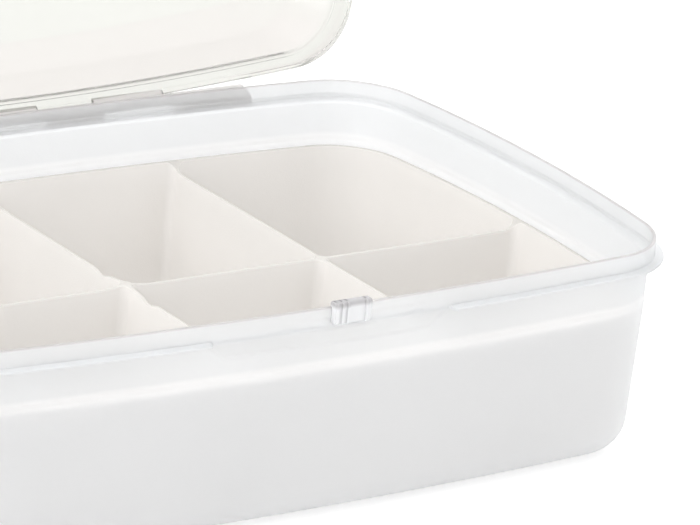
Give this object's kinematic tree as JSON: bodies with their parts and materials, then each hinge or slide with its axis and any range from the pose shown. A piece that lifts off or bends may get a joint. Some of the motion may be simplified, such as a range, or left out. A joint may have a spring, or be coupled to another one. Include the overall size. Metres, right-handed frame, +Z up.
{
  "type": "parts sorting tray",
  "caption": "Translucent lidded box with bowed sides, a lift-out compartment tray, a hinged clear lid and a front snap clasp.",
  "frame": {"origin": "middle of the tub's underside", "axes": "+Z up, +X along the long side to the right, +Y towards the hinge at the back"},
  "size_m": [0.298, 0.2855, 0.2621],
  "materials": {
    "tub_plastic": "frosted translucent",
    "pin_plastic": "clear",
    "tray_plastic": "fine matte",
    "lid_plastic": "clear"
  },
  "bodies": {
    "tub": {"tub": "tub_plastic", "hinge_pin": "pin_plastic"},
    "insert": {"insert_tray": "tray_plastic"},
    "lid": {"lid": "lid_plastic"},
    "clasp": {"clasp_tab": "lid_plastic"}
  },
  "joints": [
    {"name": "lid_hinge", "type": "hinge", "parent": "tub", "child": "lid", "pos_m": [0, 0.0999, 0.07], "axis": [-1, 0, 0], "range_deg": [-112, 0]},
    {"name": "insert_lift", "type": "slide", "parent": "tub", "child": "insert", "axis": [0, 0, 1], "range_m": [0, 0.105]},
    {"name": "clasp_flex", "type": "hinge", "parent": "lid", "child": "clasp", "pos_m": [0, 0.17864, 0.25487], "axis": [-1, 0, 0], "range_deg": [0, 14], "stiffness_Nm_per_rad": 0.3}
  ]
}
